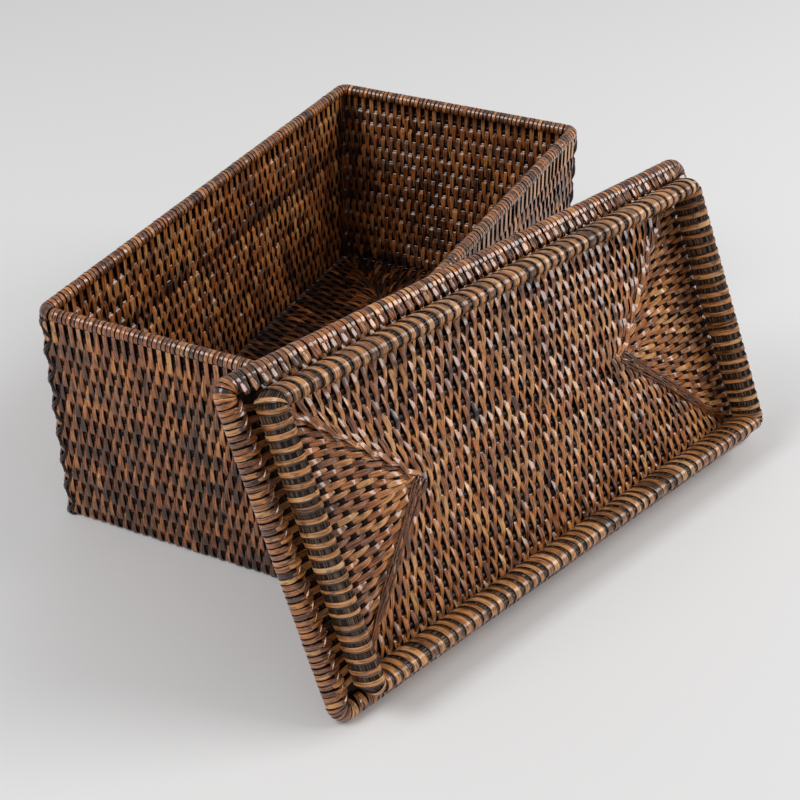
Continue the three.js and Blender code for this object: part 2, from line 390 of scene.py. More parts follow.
def oval(half_wide, half_high, turn, power=2.15):
    """Points at turns round a slightly squared oval."""
    cos, sin = np.cos(turn), np.sin(turn)
    return np.stack([half_wide * np.sign(cos) * np.abs(cos) ** (2 / power),
                     half_high * np.sign(sin) * np.abs(sin) ** (2 / power)], -1)


zone_waves = (0.11, 0.06, 0.035)  # metres from one light area to the next
zone_squeeze = 1.6
band_share = 0.5  # how strong the level bands in the areas are, and how much shorter their waves
band_wave = 0.4


def zones(x, y, draws):
    """Broad light and dark areas, as where a weaver changes to another bundle of cane."""
    total = np.zeros(np.broadcast(x, y).shape)
    for wave in zone_waves:
        turn = draws.uniform(0, math.pi)
        phase = draws.uniform(0, 2 * math.pi, 2)
        slope = x * math.cos(turn) + zone_squeeze * y * math.sin(turn)
        total = total + np.sin(2 * math.pi / wave * slope + phase[0])
        total = total + band_share * np.sin(2 * math.pi / (band_wave * wave) * y + phase[1])
    return total / (len(zone_waves) * (1 + band_share))


# Materials
def principled(name, roughness, coat, coat_roughness, specular=0.2):
    material = bpy.data.materials.new(name)
    material.use_nodes = True
    shader = material.node_tree.nodes["Principled BSDF"]
    looks = {"Roughness": roughness, "Coat Weight": coat, "Coat Roughness": coat_roughness, "Coat IOR": 1.6,
             "Specular IOR Level": specular}
    for key, value in looks.items():
        shader.inputs[key].default_value = value
    return material, material.node_tree, shader


def ramp(tree, factor, stops):
    made = tree.nodes.new("ShaderNodeValToRGB")
    points = made.color_ramp.elements
    while len(points) < len(stops):
        points.new(0.5)
    for point, (place, colour) in zip(points, stops):
        point.position = place
        point.color = (*colour, 1)
    tree.links.new(factor, made.inputs["Fac"])
    return made.outputs["Color"]


def new_node(tree, kind, output, inputs, **settings):
    """One output of a new shader node. Its inputs are values or other nodes' outputs."""
    made = tree.nodes.new("ShaderNode" + kind)
    for key, value in settings.items():
        setattr(made, key, value)
    for key, value in inputs.items():
        if isinstance(value, bpy.types.NodeSocket):
            tree.links.new(value, made.inputs[key])
        else:
            made.inputs[key].default_value = value
    return made.outputs[output]


def noise(tree, place, scales, detail):
    """Noise at a place, with a scale for each of its axes."""
    place = new_node(tree, "Mapping", "Vector", {"Vector": place, "Scale": scales})
    return new_node(tree, "TexNoise", "Fac", {"Vector": place, "Scale": 1, "Detail": detail})


def grain(tree, across, lengthways, detail=3.0):
    """Noise drawn out along the cane, from the strip's own flat coordinates."""
    return noise(tree, new_node(tree, "UVMap", "UV", {}, uv_map="cane"), (across, lengthways, 1), detail)


def object_noise(tree, scales, detail):
    return noise(tree, new_node(tree, "TexCoord", "Object", {}), scales, detail)


def attribute(tree, name):
    return new_node(tree, "Attribute", "Fac", {}, attribute_name=name)


def blended(tree, factor, first, second):
    """Two colours mixed. The node has sockets for each kind of value, and these numbers are the colours'."""
    first, second = [(*value, 1) if isinstance(value, tuple) else value for value in (first, second)]
    return new_node(tree, "Mix", 2, {0: factor, 6: first, 7: second}, data_type="RGBA")


def scaled(tree, value, low, high, to_low, to_high):
    limits = {"From Min": low, "From Max": high, "To Min": to_low, "To Max": to_high}
    return new_node(tree, "MapRange", "Result", {"Value": value, **limits})


def bumped(tree, shader, height, strength, distance):
    normal = new_node(tree, "Bump", "Normal", {"Height": height, "Strength": strength, "Distance": distance})
    tree.links.new(normal, shader.inputs["Normal"])


# Cane: the scales of its noises, and ranges whose first two values are mapped to the last two
fibre_scales = (1500, 60)
fibre_range = (0.35, 0.65, -0.27, 0.3)
fibre_bump = (0.5, 0.12 * mm)
fleck_scales = (650, 190, 4.0)
fleck_range = (0.53, 0.62, 0, 0.62)
fleck_colour = (0.025, 0.013, 0.008)
patch_scales = (38.25, 38.25, 110.5)
patch_range = (0.5, 0.62, 0)
sheen_range = (0.3, 0.7)
smoother = 0.08
rougher = 0.12
# The next two darken the outer part of each strip's width: painted shade for the crevices between
# neighbouring strips
edge_shade_range = (0.7, 0.96, 0, 0.85)
edge_shade_colour = (0.016, 0.008, 0.005)
brown_stops = [
    (0.0, (0.014, 0.006, 0.004)),
    (0.3, (0.12, 0.035, 0.010)),
    (0.55, (0.36, 0.108, 0.024)),
    (0.8, (0.55, 0.196, 0.048)),
    (1.0, (0.68, 0.33, 0.105)),
]
tan_stops = [
    (0.0, (0.02, 0.008, 0.004)),
    (0.3, (0.30, 0.11, 0.028)),
    (0.6, (0.58, 0.245, 0.078)),
    (1.0, (0.74, 0.44, 0.20)),
]
grey_stops = [
    (0.0, (0.012, 0.006, 0.004)),
    (0.35, (0.06, 0.028, 0.016)),
    (0.7, (0.20, 0.102, 0.056)),
    (1.0, (0.36, 0.21, 0.115)),
]


def cane_material(name, stops, grey_share, roughness, coat, coat_roughness):
    """Lacquered split cane, tinted by strip and dash, with long fibres, flecks, greyer patches, and painted
    shade darkening each strip's edges.
    """
    material, tree, shader = principled(name, roughness, coat, coat_roughness)
    fibres = grain(tree, *fibre_scales)
    flecks = grain(tree, *fleck_scales)
    patches = object_noise(tree, patch_scales, 1)
    tints = {0: attribute(tree, "tint"), 1: scaled(tree, fibres, *fibre_range)}
    tint = new_node(tree, "Math", "Value", tints, operation="ADD")
    warm = ramp(tree, tint, stops)
    grey = ramp(tree, tint, grey_stops)
    colour = blended(tree, scaled(tree, patches, *patch_range, grey_share), warm, grey)
    flecked = blended(tree, scaled(tree, flecks, *fleck_range), colour, fleck_colour)
    # Painted shade towards each strip's edges
    edge_shaded = blended(tree, scaled(tree, attribute(tree, "edge"), *edge_shade_range), flecked, edge_shade_colour)
    tree.links.new(edge_shaded, shader.inputs["Base Color"])
    uneven = scaled(tree, flecks, *sheen_range, roughness - smoother, roughness + rougher)
    tree.links.new(uneven, shader.inputs["Roughness"])
    bumped(tree, shader, fibres, *fibre_bump)
    return material


cane = cane_material("cane", brown_stops, 0.6, 0.45, 0.7, 0.17)
floor_cane = cane_material("floor_cane", brown_stops, 0.6, 0.55, 0.15, 0.3)
lid_cane = cane_material("lid_cane", brown_stops, 0.4, 0.42, 0.8, 0.15)
glossy_cane = cane_material("glossy_cane", brown_stops, 0.5, 0.38, 1.0, 0.13)
pale_cane = cane_material("pale_cane", tan_stops, 0.3, 0.42, 0.7, 0.22)

strand_scales = (900, 14)
strand_bump = (0.6, 0.2 * mm)


def strand_material(name, dark, light, roughness, coat, dark_share=0.35):
    """Dark round strands with light lines along them."""
    material, tree, shader = principled(name, roughness, coat, 0.1, 0.04)
    lines = grain(tree, *strand_scales)
    colour = blended(tree, scaled(tree, lines, dark_share, 0.7, 0, 1), dark, light)
    tree.links.new(colour, shader.inputs["Base Color"])
    bumped(tree, shader, lines, *strand_bump)
    return material


rod_dark = strand_material("rod_dark", (0.005, 0.0025, 0.0018), (0.030, 0.013, 0.008), 0.5, 0.1)
lip_strands = strand_material("lip_strands", (0.013, 0.008, 0.006), (0.24, 0.15, 0.10), 0.45, 0.12, 0.46)
lacing_dark = strand_material("lacing_dark", (0.008, 0.004, 0.003), (0.04, 0.016, 0.008), 0.25, 0.45)


# Weaving. Every crossing is a dash: the length of cane that shows on one side of its rod.
# The places run from a dash's tail at -1, over its rod at 0, to its head at 1, where it dives in steeply.
dash_places = np.array([-1, -0.85, -0.7, -0.5, -0.3, -0.1, 0.08, 0.24, 0.4, 0.54, 0.64, 0.7, 0.76, 0.82, 1])
tail_rise = 0.5 + 0.5 * np.cos(math.pi * np.maximum(-dash_places, 0) ** 0.95)
wall_rise = np.where(dash_places < 0, tail_rise,
                     np.interp(dash_places, [0, 0.45, 0.62, 0.82, 1], [1, 0.97, 0.87, -0.1, -0.2]))
mat_rise = np.where(dash_places < 0, tail_rise,
                    np.interp(dash_places, [0, 0.17, 0.83, 1], [1, 0.87, 0.05, -0.2]))
wall_width = np.interp(dash_places, [-1, -0.55, 0, 0.4, 0.85, 1], [0.32, 0.42, 0.56, 0.66, 0.67, 0.58])
mat_width = np.interp(dash_places, [-1, -0.55, 0, 0.5, 0.85, 1], [0.34, 0.44, 0.51, 0.57, 0.58, 0.5])
wall_drops = (0.42, 1.0)  # how deep a head dives, as a share of the usual: the least and the most
mat_drops = (0.5, 1.15)

# How the walls' dashes differ
strip_tint_spread = 0.08
row_tint_spread = 0.1
dash_tint_spread = 0.13
zone_tint = 0.16
head_shade = 0.08
top_tint = 0.2
darkest_tint = 0.14
top_width = 0.56
wall_width_spread = 0.05
wall_roll_spread = 0.1
# The same strips show on both faces of a wall, but the faces are tinted apart for how light falls: the long
# walls' inside lighter, painted light; the short walls' and the corners' inside darker, painted shade
outside_tint = 0.47
inside_long_lit_tint = 0.54
inside_short_shaded_tint = 0.43
corner_tints = ((1, 0.4), (-1, 0.28))


def uneven_rise(rise, drops, draws, count):
    """How high each of count dashes lies along its length, with heads that dive more or less deep."""
    drop = np.where(dash_places > 0, draws.uniform(*drops, (count, 1)), 1.0)
    return 1 - (1 - rise) * drop


def upright_dashes(name, distance, pitch, face, middle_tint, drift_room, parity=0):
    """The dashes of upright strips at distances round the walls, on one face: 1 outside, -1 inside."""
    draws = seeded(name)
    both_faces = name[:8]  # what the names of a wall's two faces share
    count = len(distance)
    numbers = np.arange(count)[:, None] + np.arange(len(hoops)) + parity
    columns, rows = np.nonzero(numbers % 2 == (face < 0))
    each = (len(rows), 1)
    strip_tint = draws.normal(0, strip_tint_spread, count)
    sway = draws.normal(0, strip_sway, count)
    top = (rows == len(hoops) - 1)[:, None]
    along = -face * dash_places
    under_rim = top & (along > 0)
    full_reach = dash_reach * row_pitch
    down = np.where(rows == 0, hoop_heights[0] - foot_gap, full_reach)[:, None]
    up = np.where(top, rim_height - rim_tuck * rim_loop.radius - hoop_heights[-1], full_reach)
    offset = np.where(along > 0, along * up, along * down)
    height = hoop_heights[rows][:, None] + offset
    rise = np.where(under_rim, 1.0, uneven_rise(wall_rise, wall_drops, draws, len(rows)))
    away = face * (dash_low + (wall_swing - dash_low) * rise)
    drift = (len(hoops) / 2 - rows) * wall_drift * drift_room[columns]
    shift = (sway[columns] + drift + draws.normal(0, strip_sway, len(rows)))[:, None]
    shift = shift - wall_slant * offset * face
    place, outward = [values[:, None] for values in round_loop(ground_loop, distance[columns])[:2]]
    along_wall = np.cross(level[2], outward)
    centres = place + outward * away[..., None] + along_wall * shift[..., None] + level[2] * height[..., None]
    row_tint = seeded(both_faces + " turns").normal(0, row_tint_spread, len(hoops))
    tint = middle_tint + strip_tint[columns] + row_tint[rows] + draws.normal(0, dash_tint_spread, len(rows))
    tint = tint[:, None] + zone_tint * zones(distance[columns][:, None], height, seeded(both_faces))
    tint = np.clip(tint - head_shade * dash_places + top_tint * top, darkest_tint, 1)
    half = pitch * np.where(under_rim, top_width, wall_width) * draws.normal(1, wall_width_spread, each)
    roll = draws.normal(0, wall_roll_spread, each)
    return ribbon(name, centres, along_wall, outward * face, half, tint, roll)


def crossed_strands(node, middle):
    """Dark round strands that cross over an upright corner at every second row, two each way."""
    draws = seeded(node)
    share = np.linspace(-1, 1, 21)
    place, outward = round_loop(ground_loop, middle + share * lacing_half_run)[:2]
    sink = np.clip(np.abs(share) - lacing_flat, 0, None) / (1 - lacing_flat)
    lowest, highest = lacing_radius + 0.2 * mm, rim_height - 2 * mm
    lines = []
    for row in range(0, len(hoops) + 1, 2):
        for rising, proud in lacing_ways:
            for beside in (-lacing_radius, lacing_radius):
                reach = wall_swing + lacing_radius * proud - lacing_sink * sink ** 1.5
                height = hoop_heights[0] + (row - 0.5) * row_pitch + rising * share * row_pitch * lacing_rise
                height = np.clip(height + beside, lowest, highest)
                lines.append(place + outward * reach[:, None] + level[2] * height[:, None])
    lines = np.array(lines)
    run = unit(np.gradient(lines, axis=1))
    across = square_to(run, outward[len(share) // 2])
    turn = turns(10)
    thick = lacing_radius * draws.normal(1, 0.06, (len(lines), 1, 1))
    rings = rings_round(lines, across, np.cos(turn) * thick, np.cross(across, run), np.sin(turn) * thick)
    return rings, 0.5, lengths(lines), turn * lacing_radius


Wall = namedtuple("Wall", "side corner inside_tint start straight count pitch")


def wall_list():
    """The four walls in the order of a walk round the basket, each with the corner after it."""
    usual = (("near_long", "right", inside_long_lit_tint, strip_pitch_long),
             ("far_short", "far", inside_short_shaded_tint, strip_pitch_far),
             ("far_long", "left", inside_long_lit_tint, strip_pitch_long),
             ("near_short", "near", inside_short_shaded_tint, strip_pitch_near))
    found = []
    for (side, corner, tint, pitch), (start, straight) in zip(usual, loop_sides(ground_loop)):
        room = straight / 2 + corner_arc(ground_loop) / 2 - corner_strips / 2 * corner_pitch
        count = round(room / pitch - 0.5)
        found.append(Wall(side, corner, tint, start, straight, count, room / (count + 0.5)))
    return found


walls = wall_list()


def wall_weave(wall):
    place = np.arange(-wall.count, wall.count + 1) * wall.pitch
    distance = wall.start + wall.straight / 2 + place
    drift_room = 1 - (place / place.max()) ** 2
    for face, label, tint in ((1, "outside", outside_tint), (-1, "inside", wall.inside_tint)):
        name = f"{wall.side}_wall_{label}"
        part = upright_dashes(name, distance, wall.pitch, face, tint, drift_room)
        swept(name, [part], cane, "basket", f"{wall.side}_wall_strips")


def corner_weave(wall):
    """The strips and the crossed strands of the upright corner after a wall."""
    node = f"corner_lacing_{wall.corner}"
    middle = wall.start + wall.straight + corner_arc(ground_loop) / 2
    distance = middle + (np.arange(corner_strips) - corner_strips // 2) * corner_pitch
    still = np.zeros(corner_strips)
    parts = [upright_dashes(f"{wall.corner}_{face}", distance, corner_pitch, face, tint, still, 1)
             for face, tint in corner_tints]
    swept(node + "_strips", parts, cane, "basket", node, slot="dark_lacing")
    swept(node + "_strands", [crossed_strands(node, middle)], lacing_dark, "basket", node, slot="dark_lacing")


for wall in walls:
    wall_weave(wall)
    corner_weave(wall)

# The basket's rods, and a dark lining of painted shade between each two hoops
for node, loop in zip(hoops, hoop_loops):
    loop_tube(node + "_cane", loop, hoop_half_height, hoop_half_depth, rod_section, node)
for node, loop in zip(floor_rods, floor_loops):
    loop_tube(node + "_cane", loop, hoop_half_depth, hoop_half_height, floor_rod_section, node, coarse_step)
for low, high, node in zip(hoop_heights + lining_gap, hoop_heights[1:] - lining_gap, hoops):
    wall_shade_lining(node + "_lining", low, high, lining_half_thick, lining_section, node)


# The rim
rim_end_gap = 0.6 * mm
rim_wrap_share = 0.43  # a wrap's half width, in pitches
rim_corner_half_width = 1.12 * mm
rim_wrap_turn = (-42, 222)  # degrees, from inside the rim over its top
rim_power = 1.8


def rim_strips():
    """Places, tints and half widths of the rim's winding: the walls' strips, and a fan at each corner."""
    draws = seeded("rim")
    places, tints, halves = [], [], []
    for wall, (start, straight) in zip(walls, loop_sides(rim_loop)):
        count = int((straight / 2 - rim_end_gap) / wall.pitch)
        place = np.arange(-count, count + 1) * wall.pitch
        places += [start + straight / 2 + place, start + straight + corner_fan * corner_arc(rim_loop)]
        tints += [draws.normal(0.5, 0.16, len(place)), draws.normal(0.42, 0.12, corner_wraps)]
        halves.append(np.full(len(place), rim_wrap_share * wall.pitch))
        halves.append(np.full(corner_wraps, rim_corner_half_width))
    return [np.concatenate(values)[:, None] for values in (places, tints, halves)]


def rim():
    distance, tint, half = rim_strips()
    draws = seeded("rim wraps")
    count = len(distance)
    steps = 22
    radius = rim_loop.radius - strip_thickness / 2 + 0.05 * mm
    profile = oval(radius, radius, np.radians(np.linspace(*rim_wrap_turn, steps)), rim_power)
    size = draws.normal(1, wrap_size_spread, (count, 1, 1))
    tint = tint * 0.8 + 0.1 + draws.normal(0, 0.1, (count, 1))
    lean = draws.normal(0, 0.12 * mm, (count, 1)) + np.linspace(-0.35, 0.35, steps) * mm
    roll = draws.normal(0, wrap_roll_spread, (count, 1))
    winding("rim_wraps", "rim_binding", rim_loop, profile * size, distance[:, 0], half, tint, lean, roll)
    core_tube("rim_core_cane", rim_loop, "rim_core")
    # A dark lining of painted shade under the rim, between the two faces of the walls
    wall_shade_lining("rim_lining", hoop_heights[-1] + 0.5 * mm, rim_height - 0.5 * rim_loop.radius,
                rim_lining_half_thick, rod_section, "rim_core", fine_step)


rim()

# The lid's rods, and a dark lining of painted shade between each two of them
for node, loop in zip(lid_rods, lid_loops):
    loop_tube(node + "_cane", loop, panel_rod_half_depth, panel_rod_half_height, rod_section, node)
for outer, inner, node in zip(lid_loops, lid_loops[1:], lid_rods):
    between = outer._replace(half_length=(outer.half_length + inner.half_length) / 2,
                             half_width=(outer.half_width + inner.half_width) / 2)
    half_gap = (outer.half_width - inner.half_width) / 2 - lining_gap
    loop_tube(node + "_lining", between, lining_half_thick, half_gap, lining_section, node, coarse_step)


# The lid's panel and the basket's floor
path_steps = 160
mitre_lean = 0.5  # how far a strip leans over at the mitre, for each step inward
mitre_lean_reach = 13 * mm
mat_tint_spread = 0.16
mat_width_spread = 0.06
mat_rolls = ((0, 0.14), (-0.14, 0.2))  # the middle and the spread of the roll of each kind of strip
panel_meeting = math.radians(15)  # where on the frame's round the panel's strips meet it
panel_tint = 0.66
# The floor's cane is tinted far darker than the walls': painted shade for the inside of the basket
floor_shaded_tint = 0.2


def turned_lines(starts, limit, from_edge):
    """Paths of strips that run from an edge in to 0 and lean over near the mitre: run values, and places.

    The mitre is where a strip's place along the edge reaches limit plus what is left to run.
    """
    run = np.linspace(from_edge, 0, path_steps)
    places = np.empty((len(starts), path_steps))
    place = starts
    side = np.sign(place)
    for step, left in enumerate(run):
        if step:
            room = np.clip(limit + left - np.abs(place), 0, None)
            place = place - side * mitre_lean * np.exp(-room / mitre_lean_reach) * (run[0] - run[1])
        places[:, step] = place
    return run, places


def on_paths(run, paths, depths):
    """Where each path lies when what is left to run is as much as depths say."""
    return np.array([np.interp(-np.abs(depth), -run, path) for path, depth in zip(paths, depths)])


def mat_dashes(name, loops, half_size, pitch, swing, face, edge_height, drift, middle_tint):
    """The dashes on one face of a mat whose rods are loops: across their long sides, then the short."""
    draws = seeded(name)
    axes = loops[0].axes
    rods = np.array([loop.half_width for loop in loops])
    limit = loops[0].half_length - loops[0].half_width
    row_step = rods[0] - rods[1]
    parts = []
    for kind in (0, 1):
        across, run_axis = (axes[0], axes[1]) if kind == 0 else (axes[1], axes[0])
        edge = half_size[1] if kind == 0 else half_size[0] - limit
        narrowest = limit if kind == 0 else 0.0
        count = int((half_size[kind] - 1.5 * mm) / pitch)
        numbers = np.arange(-count, count + 1)
        run, paths = turned_lines(numbers * pitch, narrowest, edge)
        for side in (1, -1):
            parity = numbers[:, None] + np.arange(len(rods)) + (side < 0)
            columns, rows = np.nonzero(parity % 2 == (face < 0))
            here = on_paths(run, paths[columns], rods[rows])
            inside = np.abs(here) < narrowest + rods[rows] - 0.25 * pitch
            columns, rows = columns[inside], rows[inside]
            each = (len(rows), 1)
            heads_out = side * face if kind == 0 else face
            along = heads_out * dash_places
            outer = (rows == 0)[:, None]
            outward = np.where(outer, edge - rods[0], dash_reach * row_step)
            inward = np.full(each, dash_reach * row_step)
            if kind == 1:
                inward[rows == len(rods) - 1] = 0.4 * row_step
            offset = np.where(along > 0, along * outward, along * inward)
            depth = rods[rows][:, None] + offset
            place = on_paths(run, paths[columns], depth)
            rise = dash_low + (swing - dash_low) * uneven_rise(mat_rise, mat_drops, draws, len(rows))
            climb = swing + (edge_height - swing) * np.clip(along, 0, 1) ** 1.3
            height = np.where(outer & (along > 0), climb, rise)
            across_room = np.clip(1 - (place / (narrowest + mm)) ** 4, 0, 1) if kind == 0 else 0.0
            place = place + draws.normal(0, strip_sway, each)
            place = place + drift * (side * depth / row_step) * across_room
            if kind == 0:
                place = place + panel_slant * side * (depth - rods[rows][:, None])
            distance = side * (depth + (limit if kind == 1 else 0))
            centres = loops[0].middle + across * place[..., None] + run_axis * distance[..., None]
            centres = centres + axes[2] * (face * height)[..., None]
            first, second = (place, distance) if kind == 0 else (distance, place)
            tint = draws.normal(middle_tint, mat_tint_spread, each)
            tint = tint + zone_tint * zones(first, second, seeded(name[:6]))
            half = pitch * mat_width * draws.normal(1, mat_width_spread, each)
            roll = draws.normal(*mat_rolls[kind], each)
            parts.append(ribbon(f"{name}{kind}{side}", centres, across, axes[2] * face, half, tint, roll))
    return parts


def mat(names, loops, half_size, pitch, swing, edge_height, drift, tint, material, node):
    """Both faces of a mat, the one that looks up, or out of the lid, first."""
    for face, name in zip((1, -1), names):
        parts = mat_dashes(name, loops, half_size, pitch, swing, face, edge_height, drift, tint)
        swept(name, parts, material, loops[0].body, node)


def panel():
    """The lid's panel, whose strips end where they meet the frame's winding."""
    reach = frame_loop.radius * math.cos(panel_meeting)
    height = frame_loop.radius * math.sin(panel_meeting)
    half_size = (frame_loop.half_length - reach, frame_loop.half_width - reach)
    mat(("lid_panel_underside", "lid_panel_top"), lid_loops, half_size, strip_pitch_lid, panel_swing, height,
        panel_drift, panel_tint, lid_cane, "lid_panel_strips")


def floor():
    half_size = (ground_loop.half_length - hoop_half_depth, ground_loop.half_width - hoop_half_depth)
    mat(("floor_upside", "floor_underside"), floor_loops, half_size, strip_pitch_floor, wall_swing, dash_low,
        0.0, floor_shaded_tint, floor_cane, "floor_strips")
    # A dark lining of painted shade round the foot of the walls, which also stops the light through the gap
    # under the lowest hoop
    wall_shade_lining("floor_lining", foot_lining_gap, hoop_heights[0] - foot_lining_gap, foot_lining_half_thick,
                lining_section, floor_rods[0])


panel()
floor()


# The lid's frame
def frame_sides():
    """The frame's sides: where each starts, its length, its wraps, and the parity of those with heads."""
    for (start, straight), heads_at in zip(loop_sides(frame_loop), (1, 0, 0, 1)):
        yield start, straight, 2 * round(straight / 2 / strip_pitch_lid), heads_at


def frame_wraps():
    """The winding round the lid's outer edge: one for each strip of the panel, and a fan at each corner."""
    draws = seeded("lid frame")
    places, parities = [], []
    for start, straight, wraps, heads_at in frame_sides():
        numbers = np.arange(wraps) - wraps // 2
        places += [start + straight / 2 + (numbers + 0.5) / wraps * straight,
                   start + straight + corner_fan * corner_arc(frame_loop)]
        parities += [(numbers + heads_at) % 2, np.arange(corner_wraps) % 2]
    distance = np.concatenate(places)
    parity = np.concatenate(parities)[:, None]
    each = (len(distance), 1)
    steps = 30
    profile = arc_profile(frame_loop.radius - band_thickness / 2, 166, -166, steps)
    size = draws.normal(1, wrap_size_spread, (len(distance), 1, 1))
    front = np.clip((-np.linspace(-1, 1, steps) - 0.3) / 0.7, 0, 1) ** 1.3
    toward = np.where(parity == 1, 0.4, -0.4) * strip_pitch_lid
    lean = toward * front + draws.normal(0, 0.1 * mm, each)
    tint = draws.normal(0.57, 0.22, each)
    half = 1.3 * mm * draws.normal(1, 0.05, each)
    roll = draws.normal(0, wrap_roll_spread, each)
    winding("lid_frame_wraps", "lid_frame_binding", frame_loop, profile * size, distance, half, tint, lean,
            roll)


def frame_core():
    """The core under the winding, and a dark lining of painted shade between it and the panel's outermost
    rod.
    """
    core_tube("lid_frame_core_cane", frame_loop, "lid_frame_core")
    inset = frame_loop.radius + 3.4 * mm
    inner = frame_loop._replace(half_length=frame_loop.half_length - inset,
                                half_width=frame_loop.half_width - inset, bend=2 * mm)
    loop_tube("lid_frame_lining", inner, 0.6 * mm, 4.6 * mm, frame_lining_section, "lid_frame_core")


# How the heads run from the winding down to the panel, outward and up from the frame's middle line
usual_head = mm * np.array([[1.5, 5.2], [0.6, 5.4], [-0.6, 5.5], [-1.9, 5.5], [-3.2, 5.4], [-4.4, 5.2],
                            [-5.3, 4.6], [-6.0, 3.0]])
upper_head = mm * np.array([[0.4, 5.35], [-0.5, 5.5], [-1.5, 5.75], [-2.5, 6.0], [-3.5, 6.25], [-4.4, 6.4],
                            [-5.1, 6.0], [-5.7, 4.6]])
lower_head = mm * np.array([[1.5, 5.2], [0.6, 5.4], [-0.4, 5.35], [-1.4, 5.0], [-2.4, 4.6], [-3.4, 4.2],
                            [-4.3, 3.7], [-4.9, 2.6]])
head_shapes = (lower_head, usual_head, upper_head, usual_head)
head_half_width = mm * np.array([0.7, 1.1, 1.35, 1.45, 1.4, 1.25, 1.0, 0.45])
head_spread = mm * np.array([1.3, 1.3, 1.2, 1.1, 0.95, 0.8, 0.65, 0.5])


def frame_heads():
    """Leaves of cane that run from the frame's winding to the panel, two at every second wrap."""
    draws = seeded("lid heads")
    distances, beside, profiles = [], [], []
    for (start, straight, wraps, heads_at), shape in zip(frame_sides(), head_shapes):
        numbers = np.arange(1 - wraps // 2, wraps // 2)
        numbers = numbers[(numbers + heads_at) % 2 == 0]
        for side in (-1, 1):
            distances.append(start + straight / 2 + numbers / wraps * straight)
            beside.append(np.full(len(numbers), side))
            profiles.append(np.repeat(shape[None], len(numbers), 0))
    distance, profile = np.concatenate(distances), np.concatenate(profiles)
    beside = np.concatenate(beside)[:, None]
    each = beside.shape
    profile = profile * draws.normal(1, 0.03, (len(distance), 1, 1))
    half = head_half_width * np.where(beside > 0, 1.0, 0.65) * draws.normal(1, 0.1, each)
    lean = beside * head_spread + draws.normal(0, 0.2 * mm, each)
    roll = draws.normal(0, 0.12, each) + np.where(beside > 0, 0.0, 0.4)
    # The narrower leaf of each pair is tinted darker: painted shade for the dark gap beside the wider leaf
    tint = 0.5 + 0.08 * beside + draws.normal(0, 0.16, each)
    facing = np.broadcast_to(lid_face + 0.4 * lid_up, (len(distance), len(usual_head), 3))
    winding("lid_frame_heads", "lid_frame_binding", frame_loop, profile, distance, half, tint, lean, roll,
            facing)


def on_lid(along, upward, height):
    """Points on the lid, from how far they lie from its middle along its three axes."""
    return lid_middle + lid_along * along[:, None] + lid_up * upward[:, None] + lid_face * height[:, None]


leaf_roll_spread = 0.12


def leaf(name, centres, facing, half, tints, draws):
    """One short flat strip. tints is the middle and the spread of its tint."""
    tint = draws.normal(*tints)
    roll = draws.normal(0, leaf_roll_spread)
    sideways = np.cross(facing, centres[-1] - centres[0])
    return ribbon(name, centres[None], sideways, facing, half, tint, roll, band_thickness)


tooth_margin = 8 * mm
tooth_pitch = 6 * mm
tooth_half_widths = 1.25 * mm * np.array([0.5, 0.9, 1, 1, 0.8, 0.4])
tooth_tints = (0.6, 0.12)


def frame_teeth():
    """Short strips that stand half on edge along the inner side of the frame's two short bars."""
    draws = seeded("teeth")
    share = np.linspace(-0.5, 0.5, len(tooth_half_widths))
    inward = 2.8 * mm + 4.2 * mm * share
    height = 5.1 * mm - 1.0 * mm * share - 1.6 * mm * np.clip(share, 0, 1)
    reach = frame_loop.half_width - tooth_margin
    teeth = []
    for side in (1, -1):
        facing = side * 0.665 * lid_along + 0.533 * lid_up + 0.523 * lid_face
        for number, place in enumerate(np.arange(-reach, reach, tooth_pitch)):
            along = place + 5.2 * mm * share + draws.normal(0, 0.6 * mm)
            centres = on_lid(side * (frame_loop.half_length - inward), along, height)
            teeth.append(leaf(f"tooth{side}{number}", centres, facing, tooth_half_widths, tooth_tints, draws))
    swept("lid_frame_teeth", teeth, glossy_cane, "lid", "lid_frame_binding")


frame_wraps()
frame_core()
frame_heads()
frame_teeth()

# The mitres of the lid's panel
leaf_places = np.array([-1, -0.8, -0.45, 0, 0.45, 0.8, 1])
leaf_shape = np.array([0.35, 0.85, 1, 1, 1, 0.8, 0.3])
upper_leaf = (17 * mm, 1.5 * mm)  # length and half width
lower_leaf = (13 * mm, 1.05 * mm)
leaf_starts = np.arange(4 * mm, 68 * mm, 4.1 * mm)
leaf_turn_spread = 4  # degrees
leaf_tints = (0.65, 0.17)
mitre_limit = lid_loops[0].half_length - lid_loops[0].half_width
mitre_strand_places = (-2.2, -1.1, 0.0, 1.1, 2.2)
mitre_strand_radius = 0.52 * mm
mitre_strand_run = np.linspace(0, 66 * mm, 40)


def mitre_leaf(side_u, side_v, front, number, out, draws):
    length, half_width = upper_leaf if side_v > 0 else lower_leaf
    angle = math.radians(45 + (15 if number % 2 else -15) + draws.normal(0, leaf_turn_spread))
    line = leaf_places * length / 2
    height = (panel_swing + 0.5 * mm) * (1 - 0.75 * np.abs(leaf_places) ** 3) + 0.35 * mm * (number % 2)
    centres = on_lid(side_u * (mitre_limit + out + line * math.cos(angle)),
                     side_v * (out + line * math.sin(angle)), front * height)
    tilted = lid_face * front + 0.5 * lid_up
    name = f"leaf{side_u}{side_v}{front}{number}"
    return leaf(name, centres, tilted, half_width * leaf_shape, leaf_tints, draws)


def mitre_strand(side_u, beside):
    """The line of one of the round strands that lie along a lower mitre."""
    out = mitre_strand_run
    wander = beside * mm * (1 - out / (90 * mm)) + 0.3 * mm * np.sin(out / (7 * mm) + beside)
    height = panel_swing + 0.7 * mm + 0.4 * mm * np.sin(out / (6 * mm) + 2 * beside)
    return on_lid(side_u * (mitre_limit + out + wander), -(out - wander), height)


